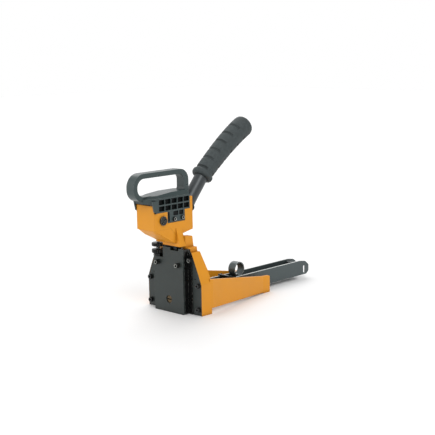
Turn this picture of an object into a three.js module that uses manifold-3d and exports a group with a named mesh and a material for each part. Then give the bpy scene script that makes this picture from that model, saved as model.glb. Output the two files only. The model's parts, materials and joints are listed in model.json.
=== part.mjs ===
// Manual carton-closing stapler: a cast nose and magazine support, a lever head with a loop handle,
// a staple rail with a pusher, and a driver and two clinchers worked by one long lever.
// Millimetres. +X is the right side seen from the front, +Y runs back along the staple rail, +Z is up.
// Shapes are drawn with Y = 0 on the front plate's face and Z = 0 on the surface that the nose stands
// on; the last group moves the whole so that the origin is the centre of its footprint.
import * as THREE from 'three';
import { mergeVertices } from 'three/addons/utils/BufferGeometryUtils.js';
import { ConvexGeometry } from 'three/addons/geometries/ConvexGeometry.js';
import Module from 'manifold-3d';

const wasm = await Module();
wasm.setup();

// ---------------------------------------------------------------- driving dimensions
const GAP = 0.3;                  // air between pieces that touch on the real object
const HEIGHT_MARGIN = 1;          // how far a cutting shape runs past the material

const NOSE = { halfWidth: 58, front: 12, back: 34, shoulderTop: 119, shoulderHalf: 26, wall: 4 };
const PLATE = { halfWidth: 31.5, thickness: 3, top: 101, notchX: -11, notchZ: 84 };
const RAIL = { inner: 18.5, footOuter: 39.6, back: 14.7, footFront: 11, top: 99.5, leftTop: 84 };
const RECESS_BACK = 15.3;         // floor of the recess that holds the rails and the wing covers
const CAVITY_BACK = 28;           // back of the cavity behind the rails and the wing covers
const WINDOW = { z: 20, radius: 6.2 };

const HEAD = { halfWidth: 18.6, front: -43.8, back: 35.9, sill: 158.6, frontTop: 170.2, backTop: 177,
  crease: 133, innerHalf: 14.6 };
const POCKET = { front: -16.3, back: 19.6, bottom: 141.5, floor: 16.2 };
const LOOP = { front: -72, back: 39, top: 218.2, bottom: 177, halfWidth: 8, innerFront: -64.5,
  innerBack: 29.5, innerTop: 210.8, innerBottom: 184 };
const BASE = { lip: -55, front: -42, back: 30.2, top: 180.6, crown: 186.6, underside: 173.6, wall: 4.6,
  cellsFrom: -33, cheekTop: 177, cheekOut: 2.6 };

const PIVOT = { y: -25.8, z: 146.5 };
const LEVER = { travelDeg: 51, driveRadius: 36, plateIn: 10.95, plateOut: 13.4 };
const HALF_TRAVEL = THREE.MathUtils.degToRad(LEVER.travelDeg / 2);
const DRIVE_PIN = {
  y: PIVOT.y + LEVER.driveRadius * Math.cos(HALF_TRAVEL),
  z: PIVOT.z + LEVER.driveRadius * Math.sin(HALF_TRAVEL),
};
const ROLLER_RADIUS = 5.5;
const TUBE = { radius: 10.65, bore: 8.65 };
const TUBE_LINE = [[38, 154.8], [50.5, 171.4], [62.8, 186], [74, 199.4], [85, 210.3], [98.8, 221.9],
  [126.6, 243.7], [158.9, 265.2], [182, 277.6]];      // Y and Z of the lever tube's centreline
const GRIP = { start: 57.5, end: 185.5, tubeEnd: 179.5 };   // lengths measured along that line
const RIVET = { y: 40.3, z: 157.9, radius: 2.5 };
const SPRING = { y: -36, tailZ: 153, anchorZ: 138.6 };

const RAM = { halfWidth: 16.5, front: 4, back: 15.7, bottom: 62, top: 103.5, upperHalf: 15, stemHalf: 5.5 };
const DRIVER = { halfWidth: 16.2, front: 16, back: 18.2, bottom: 33, top: 102 };
const CLINCHER = { x: 27, z: 9, inner: 15.5, outer: 19.7, front: 16, back: 20.8 };

const MAGAZINE = { half: 13.9, wall: 1.6, bottom: 6.9, top: 32.9, front: 19.8, back: 320.8 };
const ARM = { outerBack: 33, thickness: 4.5, bendY: 180, back: 196 };
const PUSHER = { front: 124.5, back: 168, ringY: 151.5, ringZ: 41.6, ringRadius: 12, band: 1.9 };
const STUD = { x: -26, y: 4, radius: 3, knob: 9.7 };
const KNOB = { bottom: 98.9, top: 105 };
const LOCK_NUT = { bottom: 88.6, top: 95.2 };

// Fasteners: M4, and their places across the tool.
const M4 = { shank: 2, hole: 2.3, socket: 1.9, head: 3.7 };
const PLATE_SCREW = { x: 22, z: 75.7 };
const FOOT_SCREW = { x: 36.5, z: 83.3 };
const COVER_SCREW = { x: 51.8, upperZ: 46.1, lowerZ: 9.5 };
const NECK_BOLT = { x: 20.7, z: 111 };
const HANDLE_SCREWS = [[-2.1, 146.3], [14.6, 146.8]];     // Y and Z, front and rear
const DRIVER_SCREW = { x: 10, z: 74 };
const RAIL_SCREW_Y = { front: 31, rear: 188.5, end: 296 };

const FOOTPRINT_CENTRE_Y = (LOOP.front + MAGAZINE.back) / 2;

// ---------------------------------------------------------------- materials
const material = (color, roughness, metalness) =>
  new THREE.MeshStandardMaterial({ color, roughness, metalness });
const ORANGE = material(0xe08a2c, 0.42, 0.1);
const GREY_STEEL = material(0x4a5050, 0.55, 0.5);
const BLACK_STEEL = material(0x17191a, 0.4, 0.6);
const TUBE_STEEL = material(0x3c4042, 0.3, 0.7);
const PLASTIC = material(0x3c4446, 0.6, 0.0);
const RUBBER = material(0x3b4244, 0.8, 0.0);
const BRIGHT_STEEL = material(0xa8aaa8, 0.3, 0.9);
const BRASS = material(0xb8923c, 0.35, 0.9);

// ---------------------------------------------------------------- solids from three.js shapes
function signedVolume(position, index) {
  const [a, b, c] = [new THREE.Vector3(), new THREE.Vector3(), new THREE.Vector3()];
  let volume = 0;
  for (let i = 0; i < index.length; i += 3) {
    a.fromBufferAttribute(position, index[i]);
    b.fromBufferAttribute(position, index[i + 1]);
    c.fromBufferAttribute(position, index[i + 2]);
    volume += a.dot(b.cross(c)) / 6;
  }
  return volume;
}

// A closed three.js geometry as a solid that can be joined and cut.
function solid(geometry) {
  const bare = geometry.clone();
  for (const name of Object.keys(bare.attributes)) {
    if (name !== 'position') bare.deleteAttribute(name);
  }
  const merged = mergeVertices(bare, 1e-4);
  const source = merged.index.array;
  const triangles = [];
  for (let i = 0; i < source.length; i += 3) {
    const [p, q, r] = [source[i], source[i + 1], source[i + 2]];
    if (p !== q && q !== r && r !== p) triangles.push(p, q, r);
  }
  if (signedVolume(merged.attributes.position, triangles) < 0) triangles.reverse();
  return new wasm.Manifold(new wasm.Mesh({
    numProp: 3,
    vertProperties: Float32Array.from(merged.attributes.position.array),
    triVerts: Uint32Array.from(triangles),
  }));
}

function box(x0, x1, y0, y1, z0, z1) {
  const geometry = new THREE.BoxGeometry(x1 - x0, y1 - y0, z1 - z0);
  geometry.translate((x0 + x1) / 2, (y0 + y1) / 2, (z0 + z1) / 2);
  return solid(geometry);
}

// A round bar along an axis, from one end to the other, centred on p and q (the other two
// coordinates in X, Y, Z order).
function bar(axis, radius, from, to, p, q, sides = 20) {
  const geometry = new THREE.CylinderGeometry(radius, radius, to - from, sides);
  const middle = (from + to) / 2;
  if (axis === 'x') {
    geometry.rotateZ(-Math.PI / 2);
    geometry.translate(middle, p, q);
  } else if (axis === 'y') {
    geometry.translate(p, middle, q);
  } else {
    geometry.rotateX(Math.PI / 2);
    geometry.translate(p, q, middle);
  }
  return solid(geometry);
}

// An outline whose points may carry a corner radius: [u, v] or [u, v, radius].
function outline(points, steps = 5) {
  const path = [];
  points.forEach(([u, v, radius = 0], i) => {
    const corner = new THREE.Vector2(u, v);
    if (!radius) {
      path.push(corner);
      return;
    }
    const before = new THREE.Vector2(...points.at(i - 1).slice(0, 2)).sub(corner).normalize();
    const after = new THREE.Vector2(...points[(i + 1) % points.length].slice(0, 2));
    after.sub(corner).normalize();
    const halfAngle = Math.acos(THREE.MathUtils.clamp(before.dot(after), -1, 1)) / 2;
    const inset = radius / Math.tan(halfAngle);
    const middle = before.clone().add(after).normalize();
    const centre = corner.clone().addScaledVector(middle, radius / Math.sin(halfAngle));
    const start = corner.clone().addScaledVector(before, inset).sub(centre);
    const end = corner.clone().addScaledVector(after, inset).sub(centre);
    const turn = Math.atan2(start.x * end.y - start.y * end.x, start.dot(end));
    for (let k = 0; k <= steps; k += 1) {
      path.push(start.clone().rotateAround(new THREE.Vector2(), turn * k / steps).add(centre));
    }
  });
  return new THREE.Shape(path);
}

function extruded(points, depth, steps) {
  return new THREE.ExtrudeGeometry(outline(points, steps), { depth, bevelEnabled: false });
}

// Prisms: an outline in Y and Z run along X, in X and Z run along Y, in X and Y run along Z.
function prismX(points, x0, x1, steps) {
  const geometry = extruded(points, x1 - x0, steps);
  geometry.applyMatrix4(new THREE.Matrix4().makeBasis(
    new THREE.Vector3(0, 1, 0), new THREE.Vector3(0, 0, 1), new THREE.Vector3(1, 0, 0)));
  geometry.translate(x0, 0, 0);
  return solid(geometry);
}

function prismY(points, y0, y1, steps) {
  const geometry = extruded(points, y1 - y0, steps);
  geometry.rotateX(Math.PI / 2);
  geometry.translate(0, y1, 0);
  return solid(geometry);
}

function prismZ(points, z0, z1, steps) {
  const geometry = extruded(points, z1 - z0, steps);
  geometry.translate(0, 0, z0);
  return solid(geometry);
}

// The convex body around a list of corners.
function wedge(corners) {
  return solid(new ConvexGeometry(corners.map((c) => new THREE.Vector3(...c))));
}

// A flat strap around two round ends, lying across X.
function strap(a, radiusA, b, radiusB, x0, x1) {
  const corners = [];
  for (const [[y, z], radius] of [[a, radiusA], [b, radiusB]]) {
    for (let k = 0; k < 16; k += 1) {
      const angle = 2 * Math.PI * k / 16;
      const [py, pz] = [y + radius * Math.cos(angle), z + radius * Math.sin(angle)];
      corners.push([x0, py, pz], [x1, py, pz]);
    }
  }
  return wedge(corners);
}

const joined = (...solids) => solids.reduce((all, next) => all.add(next));
const cut = (body, ...tools) => tools.reduce((all, next) => all.subtract(next), body);
const mirrorX = (points) => points.map(([x, ...rest]) => [-x, ...rest]);
const bothSides = (shape) => shape.add(shape.mirror([1, 0, 0]));

// A solid whose radius varies along a curve, with a blind round bore from its first end.
function sleeve(curve, length, sections, boreRadius, boreEnd, sides = 20) {
  const rings = [];
  const across = new THREE.Vector3(1, 0, 0);
  const ring = (distance, radius) => {
    const u = THREE.MathUtils.clamp(distance / length, 0, 1);
    const centre = curve.getPointAt(u);
    const up = new THREE.Vector3().crossVectors(across, curve.getTangentAt(u));
    rings.push(Array.from({ length: sides }, (_, k) => {
      const angle = 2 * Math.PI * k / sides;
      return centre.clone().addScaledVector(across, radius * Math.cos(angle))
        .addScaledVector(up, radius * Math.sin(angle));
    }));
  };
  const boreSteps = 9;
  const first = sections[0][0];
  const last = sections.at(-1)[0];
  for (let k = boreSteps; k >= 0; k -= 1) ring(first + (boreEnd - first) * k / boreSteps, boreRadius);
  for (const [distance, radius] of sections) ring(distance, radius);
  const positions = rings.flat().flatMap((point) => point.toArray());
  const index = [];
  for (let r = 0; r + 1 < rings.length; r += 1) {
    for (let k = 0; k < sides; k += 1) {
      const [a, b] = [r * sides + k, r * sides + (k + 1) % sides];
      index.push(a, b, a + sides, b, b + sides, a + sides);
    }
  }
  const cap = (distance, firstVertex, flip) => {
    const centre = positions.length / 3;
    positions.push(...curve.getPointAt(THREE.MathUtils.clamp(distance / length, 0, 1)).toArray());
    for (let k = 0; k < sides; k += 1) {
      const [a, b] = [firstVertex + k, firstVertex + (k + 1) % sides];
      index.push(...(flip ? [centre, a, b] : [centre, b, a]));
    }
  };
  cap(boreEnd, 0, false);
  cap(last, (rings.length - 1) * sides, true);
  const geometry = new THREE.BufferGeometry();
  geometry.setAttribute('position', new THREE.Float32BufferAttribute(positions, 3));
  geometry.setIndex(index);
  return solid(geometry);
}

// ---------------------------------------------------------------- the assembly
const stapler = new THREE.Group();

function add(name, shape, look) {
  const { vertProperties, triVerts, numProp } = shape.getMesh();
  const geometry = new THREE.BufferGeometry();
  geometry.setAttribute('position', new THREE.Float32BufferAttribute(vertProperties, numProp));
  geometry.setIndex(new THREE.BufferAttribute(triVerts, 1));
  geometry.computeVertexNormals();
  const mesh = new THREE.Mesh(geometry, look);
  mesh.name = name;
  stapler.add(mesh);
}

// The nose's slanted outline, right half, from the foot up to the shoulder, drawn in by an inset.
function noseSide(inset, bottom) {
  const edge = NOSE.halfWidth - inset;
  return [[edge, bottom], [edge, 47], [edge - 1.2, 51], [51.5 - inset, 64.5], [41 - inset, 88.5]];
}

// ---------------------------------------------------------------- nose casting and rail support
function noseCasting() {
  const right = [...noseSide(0, 0), [38.5, 94.5], [33, 94.5], [33, 101.5],
    [NOSE.shoulderHalf, 101.5], [NOSE.shoulderHalf, NOSE.shoulderTop]];
  const body = prismY([...right, ...mirrorX(right).reverse()], NOSE.front, NOSE.back);
  const leanBack = prismX([[NOSE.back + 1, 58], [26.5, 121], [NOSE.back + 1, 121]], -60, 60);
  const leanTop = prismX([[11, 121], [11, 119.5], [NOSE.back, 116.5], [NOSE.back, 121]], -30, 30);
  const recessEdge = [...noseSide(1, -HEIGHT_MARGIN), [34, 99.8]];
  const recess = prismY([...recessEdge, ...mirrorX(recessEdge).reverse()], NOSE.front - 1, RECESS_BACK);
  const cavityEdge = [...noseSide(NOSE.wall, -HEIGHT_MARGIN), [33, 91], [17.5, 91]];
  const cavity = prismY([...cavityEdge, ...mirrorX(cavityEdge).reverse()], RECESS_BACK - 1, CAVITY_BACK);
  const railSlot = box(-17, 17, CAVITY_BACK - 1, NOSE.back + 1, 6.6, 36.5);
  const leverSlot = box(-15.4, 15.4, NOSE.front - 1, NOSE.back + 1, 85, 121);
  const knobRoom = box(-37, -15, NOSE.front - 1, 14.6, 86, 107.2);
  const places = [[COVER_SCREW.x, COVER_SCREW.upperZ], [COVER_SCREW.x, COVER_SCREW.lowerZ],
    [FOOT_SCREW.x, FOOT_SCREW.z]];
  const bosses = places.map(([x, z]) => bar('y', 5, RECESS_BACK, CAVITY_BACK + 1, x, z));
  const bossHoles = places.map(([x, z]) => bothSides(bar('y', M4.hole, RECESS_BACK - 2, 27, x, z, 10)));
  const { x: boltX, z: boltZ } = NECK_BOLT;
  const boltHoles = bothSides(joined(bar('y', M4.hole, NOSE.front - 1, NOSE.back + 1, boltX, boltZ, 10),
    bar('y', 4.3, 22, NOSE.back + 1, boltX, boltZ)));
  const shell = cut(body, leanBack, leanTop, recess, cavity, railSlot, leverSlot, knobRoom);
  const nose = cut(joined(shell, ...bosses.map(bothSides)), ...bossHoles, boltHoles);
  return joined(nose, railArms());
}

// Two arms that run back from the wings, draw in beside the staple rail and meet under it.
function railArms() {
  const sideProfile = prismX([[30, 8.9], [ARM.bendY, 1.6], [ARM.back, 0.8], [ARM.back, 26.2],
    [194.6, 27.4], [ARM.bendY, 28.4], [31, 53.8]], -60, 60);
  const outer = NOSE.halfWidth - 0.4;
  const inner = outer - ARM.thickness;
  const plan = prismZ([[outer, 31], [outer, 37, 6], [ARM.outerBack, ARM.bendY, 8],
    [ARM.outerBack, ARM.back], [ARM.outerBack - 5, ARM.back], [ARM.outerBack - 5, ARM.bendY, 8],
    [inner, 37, 6], [inner, 31]], -1, 60);
  const arms = bothSides(plan.intersect(sideProfile));
  const bridge = box(-ARM.outerBack, ARM.outerBack, 181, ARM.back, 0, 6.6);
  return cut(joined(arms, bridge), screwPath(0, RAIL_SCREW_Y.rear));
}

// The way of a countersunk screw that holds the rail down from below.
function screwPath(x, y) {
  return joined(bar('z', M4.hole, -1, 8, x, y, 16), bar('z', 4.4, -1, 2.9, x, y, 20));
}

function railScrew(x, y) {
  const body = joined(bar('z', M4.shank, 0.6, 11, x, y, 16), bar('z', 4, 0.6, 2.6, x, y, 20));
  return cut(body, box(x - 4.5, x + 4.5, y - 0.5, y + 0.5, 0, 1.5));
}

// ---------------------------------------------------------------- nose: plates and rails
function frontPlate() {
  const { halfWidth: w, top, notchX, notchZ } = PLATE;
  const body = prismY([[-w, 0.2, 1], [w, 0.2, 1], [w, top, 1.5], [23, top], [23, 97], [5, 97], [5, top],
    [notchX, top], [notchX, notchZ], [-w, notchZ]], 0, PLATE.thickness);
  const window = bar('y', WINDOW.radius, -1, 4, 0, WINDOW.z, 28);
  return cut(body, window, bothSides(bar('y', M4.hole, -1, 4, PLATE_SCREW.x, PLATE_SCREW.z, 10)));
}

// An L section: a thick guide that the front plate is screwed to, and a foot that lies in the recess.
function sideRail(side) {
  const { inner, footOuter, back, footFront } = RAIL;
  const top = side > 0 ? RAIL.top : RAIL.leftTop;
  const section = [[inner, PLATE.thickness + GAP], [PLATE.halfWidth, PLATE.thickness + GAP],
    [PLATE.halfWidth, footFront], [footOuter, footFront], [footOuter, back], [inner, back]];
  const edge = [[0, 0], [footOuter + 1, 0], [footOuter + 1, 88.5 - 4], [32.5, 98], [32.5, 101], [0, 101]];
  const body = prismZ(section, 0.2, top).intersect(prismY(edge, 0, 20));
  const plateScrew = bar('y', M4.hole, 0, 12, PLATE_SCREW.x, PLATE_SCREW.z, 16);
  const footScrew = bar('y', M4.hole, 8, 20, FOOT_SCREW.x, FOOT_SCREW.z, 16);
  const rail = cut(body, plateScrew, footScrew);
  return side > 0 ? rail : rail.mirror([1, 0, 0]);
}

function wingCover(side) {
  const inner = RAIL.footOuter + GAP;
  const edge = [[inner, 0.6], ...noseSide(1.35, 0.6).slice(0, -1), [inner, 85.5]];
  const points = side > 0 ? edge : mirrorX(edge);
  const { x: screwX, upperZ, lowerZ } = COVER_SCREW;
  const holes = [[screwX, upperZ, M4.hole], [screwX, lowerZ, M4.hole], [45.2, 55, 1.2]]
    .map(([x, z, radius]) => bar('y', radius, 10, 17, side * x, z, 10));
  return cut(prismY(points, NOSE.front, RECESS_BACK - GAP), ...holes);
}

// A socket head screw along Y with its head towards the front.
function socketScrew(x, z, seat, headHeight, length, headRadius = M4.head) {
  const head = bar('y', headRadius, seat - headHeight, seat, x, z, 16);
  const shank = bar('y', M4.shank, seat - 0.5, seat + length, x, z, 8);
  const face = seat - headHeight;
  return cut(joined(head, shank), bar('y', M4.socket, face - 1, face + 2.6, x, z, 6));
}

function windowPlug() {
  const body = bar('y', 5.8, 1.2, 13.6, 0, WINDOW.z, 28);
  const slot = box(-7, 7, 0, 2.9, WINDOW.z - 0.8, WINDOW.z + 0.8);
  return cut(body, slot);
}

// ---------------------------------------------------------------- clinch depth adjuster
function knurledDisc({ bottom, top }) {
  const disc = bar('z', STUD.knob, bottom, top, STUD.x, STUD.y, 32);
  const count = 12;
  const reach = STUD.knob + 0.5;
  const grooves = Array.from({ length: count }, (_, k) => {
    const angle = 2 * Math.PI * (k + 0.5) / count;
    const [x, y] = [STUD.x + reach * Math.cos(angle), STUD.y + reach * Math.sin(angle)];
    return bar('z', 1.1, bottom - 1, top + 1, x, y, 6);
  });
  return cut(disc, ...grooves, bar('z', STUD.radius + GAP, bottom - 1, top + 1, STUD.x, STUD.y, 20));
}

function adjustingStud() {
  return bar('z', STUD.radius, RAIL.leftTop + GAP, KNOB.top + 1.8, STUD.x, STUD.y, 16);
}

// The bracket that carries the stud: a lug that stands on the left rail's cut-down top.
function studBracket() {
  const [bottom, top] = [RAIL.leftTop + GAP, 87.6];
  const lug = box(-31.2, -19, 0.3, 11, bottom, top);
  const nose = bar('z', 5.6, bottom, top, STUD.x, STUD.y - 1);
  return cut(joined(lug, nose), bar('z', STUD.radius + GAP, bottom - 1, top + 1, STUD.x, STUD.y, 10));
}

// ---------------------------------------------------------------- lever head
function headCasting() {
  const { halfWidth: w, front, back, sill, frontTop, backTop, crease } = HEAD;
  const walls = prismX([[front, crease], [front, frontTop, 1], [BASE.front - GAP, frontTop],
    [BASE.front - GAP, sill], [BASE.back + GAP, sill], [BASE.back + GAP, backTop], [back, backTop, 2],
    [back, 126.5], [12, 121.8], [0, 122], [-10, crease]], -w, w);
  const chin = wedge([-1, 1].flatMap((s) => [[s * 18.3, front + 0.2, crease + 1], [s * 18.3, 1, crease + 1],
    [s * 15, front + 1, crease - 1], [s * 11.5, -35, 124.4], [s * 12.5, -12, 117.5], [s * 18.6, 0.6, 108],
    [s * 18.6, 4, 108]]));
  const neckBack = NOSE.front - GAP;
  const neck = wedge([-1, 1].flatMap((s) => [[s * w, 0, crease], [s * w, neckBack, crease],
    [s * 22.5, 0, 120], [s * 22.5, neckBack, 120], [s * 27, 0, 104], [s * 27, neckBack, 104]]));
  const cavity = prismX([[front + 3.8, 135], [-22, 134], [-6, 121], [2.8, 115], [2.8, 103],
    [NOSE.front, 103], [NOSE.front, 118], [back + 2, 118], [back + 2, backTop + 2],
    [front + 3.8, backTop + 2]], -HEAD.innerHalf, HEAD.innerHalf);
  const pocket = box(POCKET.floor, w + 1, POCKET.front, POCKET.back, POCKET.bottom, sill + 1);
  const knobRoom = box(-38, -11, -20, NOSE.front, 100, 107.2);
  const holes = [
    bar('x', 4.8, -w - 1, w + 1, PIVOT.y, PIVOT.z),
    ...HANDLE_SCREWS.map(([y, z]) => bar('x', M4.hole, -w - 1, w + 1, y, z, 16)),
    bar('x', M4.hole, GAP - 17, 17 - GAP, SPRING.y, SPRING.anchorZ, 10),
    bothSides(bar('y', M4.hole, 4, 14, NECK_BOLT.x, NECK_BOLT.z, 10)),
  ];
  return cut(joined(walls, chin, neck), cavity, bothSides(pocket), knobRoom, ...holes);
}

function neckBolt(side) {
  const [x, z] = [side * NECK_BOLT.x, NECK_BOLT.z];
  const body = joined(bar('y', M4.head + 0.1, 22.3, 26, x, z, 16), bar('y', M4.shank, 6, 23, x, z, 8));
  return cut(body, bar('y', M4.socket, 23.6, 27, x, z, 6));
}

// ---------------------------------------------------------------- loop handle
function loopHandle() {
  const hoop = cut(
    prismX([[LOOP.front, LOOP.bottom, 18], [LOOP.front, LOOP.top, 20.4], [LOOP.back, LOOP.top, 17],
      [LOOP.back, LOOP.bottom, 3]], -LOOP.halfWidth, LOOP.halfWidth, 8),
    prismX([[LOOP.innerFront, LOOP.innerBottom, 12], [LOOP.innerFront, LOOP.innerTop, 13],
      [LOOP.innerBack, LOOP.innerTop, 9], [LOOP.innerBack, LOOP.innerBottom, 7]], -20, 20, 8));
  const w = HEAD.halfWidth;
  const plan = [[-LOOP.halfWidth, BASE.lip, 3], [LOOP.halfWidth, BASE.lip, 3], [w, BASE.front - 1, 6],
    [w, BASE.back], [-w, BASE.back], [-w, BASE.front - 1, 6]];
  const deck = prismZ(plan, BASE.underside, BASE.top);
  const crown = wedge([-w, w].flatMap((x) => [[x, -34, BASE.top - 1], [x, BASE.back, BASE.top - 1],
    [x * 0.75, -30, BASE.crown - 2.4], [x * 0.75, -4, BASE.crown], [x * 0.75, BASE.back, BASE.crown],
    [x * 0.4, -53, BASE.top - 1], [x * 0.3, -51, BASE.crown - 4]]));
  const sill = HEAD.sill + GAP;
  const cheekRoot = box(w - 2, w + BASE.cheekOut, BASE.front + 0.2, BASE.front + 3, sill, BASE.cheekTop);
  const cheek = prismX([[BASE.front - 6, BASE.cheekTop], [BASE.front + 3, BASE.cheekTop],
    [BASE.front + 3, sill], [BASE.front - 2.6, sill + 2.7]], w + GAP, w + BASE.cheekOut);
  const skirt = box(-w, w, BASE.front, BASE.back, sill, BASE.top);
  const inner = w - BASE.wall;
  const inside = box(-inner, inner, BASE.front + 3, BASE.back + 1, HEAD.sill - 1, 178.2);
  const ear = box(POCKET.floor + GAP, w - 0.2, POCKET.front + GAP, POCKET.back - GAP, 142, 159.5);
  const earScrews = HANDLE_SCREWS.map(([y, z]) => bar('x', M4.hole, -20, 20, y, z, 10));
  const body = joined(hoop, deck, crown, bothSides(joined(cheekRoot, cheek)), skirt, bothSides(ear));
  return cut(body, inside, ...earScrews, ...latticeCells());
}

// Square pockets in both flanks of the handle's base: two deep rows of five, and shallow ones in the ears.
function latticeCells() {
  const columns = 5;
  const rib = 1.4;
  const depth = BASE.wall - 0.6;
  const earDepth = 1.4;
  const pitch = (BASE.back - BASE.cellsFrom) / columns;
  const cells = [];
  const cell = (y0, y1, z0, z1, deep = depth) => {
    cells.push(bothSides(box(HEAD.halfWidth - deep, HEAD.halfWidth + 1, y0, y1, z0, z1)));
  };
  for (let column = 0; column < columns; column += 1) {
    const y = BASE.cellsFrom + column * pitch;
    cell(y, y + pitch - rib, 160.8, 168.4);
    cell(y, y + pitch - rib, 170.4, 178);
  }
  cell(POCKET.front + 1, -11.8, 143.4, 158.2, earDepth);
  cell(-4.2, 6, 151.6, 158.2, earDepth);
  cell(7.8, 16.6, 151.6, 158.2, earDepth);
  return cells;
}

function handleScrew(side, [y, z]) {
  const body = joined(
    bar('x', 3.4, HEAD.halfWidth, HEAD.halfWidth + 2, y, z, 16),
    bar('x', M4.shank, HEAD.innerHalf - 0.2, HEAD.halfWidth + 0.5, y, z, 8));
  const screw = cut(body, bar('x', 1.8, HEAD.halfWidth + 0.4, HEAD.halfWidth + 3, y, z, 6));
  return side > 0 ? screw : screw.mirror([1, 0, 0]);
}

// ---------------------------------------------------------------- lever
function pivotPin() {
  const { y, z } = PIVOT;
  const head = bar('x', 6.8, HEAD.halfWidth + GAP, HEAD.halfWidth + 2.4, y, z, 32);
  const shaft = bar('x', 4.5, -22, HEAD.halfWidth + 1, y, z);
  const groove = cut(bar('x', 6, -20.6, -19.2, y, z), bar('x', 3.6, -21, -19, y, z));
  const slot = prismX([[y - 8, z - 1], [y + 8, z - 1], [y + 8, z + 1], [y - 8, z + 1]],
    HEAD.halfWidth + 1.2, HEAD.halfWidth + 3);
  const angle = 35;
  const turned = slot.translate([0, -y, -z]).rotate([angle, 0, 0]).translate([0, y, z]);
  return cut(joined(head, shaft), groove, turned);
}

function retainingRing() {
  const { y, z } = PIVOT;
  const mouth = box(-21, -18, y - 2.6, y + 2.6, z - 9, z);
  return cut(bar('x', 7, -20.3, -19.4, y, z, 28), bar('x', 3.9, -21, -19, y, z), mouth);
}

function tubeOfX(outer, inner, x0, x1, y, z) {
  return cut(bar('x', outer, x0, x1, y, z), bar('x', inner, x0 - 1, x1 + 1, y, z));
}

function leverPlate(side) {
  const [x0, x1] = [LEVER.plateIn, LEVER.plateOut];
  const pivot = [PIVOT.y, PIVOT.z];
  const drive = [DRIVE_PIN.y, DRIVE_PIN.z];
  const body = joined(
    strap(pivot, 9, drive, 8.6, x0, x1),
    strap(drive, 8.6, [RIVET.y, RIVET.z], 5.2, x0, x1),
    strap(pivot, 6, [SPRING.y, SPRING.tailZ], 3.6, x0, x1));
  const holes = [
    bar('x', 4.8, 0, 20, ...pivot),
    bar('x', 3.3, 0, 20, ...drive),
    bar('x', RIVET.radius + GAP, 0, 20, RIVET.y, RIVET.z),
    bar('x', 1.8, 0, 20, SPRING.y, SPRING.tailZ, 10),
  ];
  const plate = cut(body, ...holes);
  return side > 0 ? plate : plate.mirror([1, 0, 0]);
}

const leverCurve = new THREE.CatmullRomCurve3(TUBE_LINE.map(([y, z]) => new THREE.Vector3(0, y, z)));
const LEVER_LENGTH = leverCurve.getLength();

function leverTube() {
  const stations = 10;
  const sections = Array.from({ length: stations + 1 }, (_, k) => [GRIP.tubeEnd * k / stations, TUBE.radius]);
  const tube = sleeve(leverCurve, LEVER_LENGTH, sections, TUBE.bore, GRIP.tubeEnd - 3);
  return cut(tube, bar('x', RIVET.radius + GAP, -20, 20, RIVET.y, RIVET.z));
}

function grip() {
  const { start, end, tubeEnd } = GRIP;
  const length = end - start;
  const collar = [[0, 13.6], [1.1, 16.2], [2.8, 17], [6.6, 17], [8.1, 16], [9, 14.2]];
  const body = [[12.2, 14.2], [13.4, 15], [28, 15.3], [56, 15.9], [85, 16.6], [length - 17, 17.2]];
  const nose = [[length - 6.6, 17.2], [length - 2.8, 16.2], [length - 0.8, 13.4], [length, 9]];
  const sections = [...collar, ...body, ...nose].map(([distance, radius]) => [start + distance, radius]);
  return sleeve(leverCurve, LEVER_LENGTH, sections, TUBE.radius + GAP, tubeEnd + GAP);
}

function rivet() {
  const { y, z, radius } = RIVET;
  const seat = LEVER.plateOut + 0.1;
  const heads = bothSides(bar('x', 4.2, seat, seat + 0.7, y, z));
  return joined(bar('x', radius, -seat - 0.4, seat + 0.4, y, z), heads);
}

function springWire(y, from, to, coilRadius, wireRadius, turns) {
  class Helix extends THREE.Curve {
    getPoint(t, target = new THREE.Vector3()) {
      const angle = 2 * Math.PI * turns * t;
      const [x, out] = [coilRadius * Math.cos(angle), coilRadius * Math.sin(angle)];
      return target.set(x, y + out, from + (to - from) * t);
    }
  }
  const section = new THREE.Shape();
  section.absarc(0, 0, wireRadius, 0, 2 * Math.PI);
  return solid(new THREE.ExtrudeGeometry(section, {
    steps: turns * 10, curveSegments: 2, extrudePath: new Helix(), bevelEnabled: false,
  }));
}

// ---------------------------------------------------------------- ram, driver and clinchers
const YOKE = { y: (DRIVE_PIN.y + PIVOT.y + LEVER.driveRadius) / 2, reach: ROLLER_RADIUS + 3.2, wall: 3.8 };

function ramBlock() {
  const { halfWidth, front, back, bottom, top, upperHalf, stemHalf } = RAM;
  const block = joined(box(-halfWidth, halfWidth, front, back, bottom, 88),
    box(-upperHalf, upperHalf, front, RECESS_BACK - GAP, 87, top));
  const shoulder = box(-stemHalf, stemHalf, front, back - 1.3, top - 1, 140);
  const [y, z] = [YOKE.y, DRIVE_PIN.z];
  const outer = prismX([[y - YOKE.reach - YOKE.wall, z - 9.4, 2], [y + YOKE.reach + YOKE.wall, z - 9.4, 2],
    [y + YOKE.reach + YOKE.wall, z + 9.4, 4], [y - YOKE.reach - YOKE.wall, z + 9.4, 4]], -stemHalf, stemHalf);
  const stem = box(-stemHalf, stemHalf, front, back - 1.3, 139, z - 8);
  const slotHalf = ROLLER_RADIUS + GAP;
  const slot = prismX([[y - YOKE.reach, z - slotHalf, 4], [y + YOKE.reach, z - slotHalf, 4],
    [y + YOKE.reach, z + slotHalf, 4], [y - YOKE.reach, z + slotHalf, 4]], -10, 10);
  const { x: screwX, z: screwZ } = DRIVER_SCREW;
  const screwHoles = bothSides(joined(bar('y', M4.hole, 0, 20, screwX, screwZ, 16),
    bar('y', 3.9, 0, 8, screwX, screwZ, 20)));
  return cut(joined(block, shoulder, stem, outer), slot, screwHoles);
}

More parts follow.
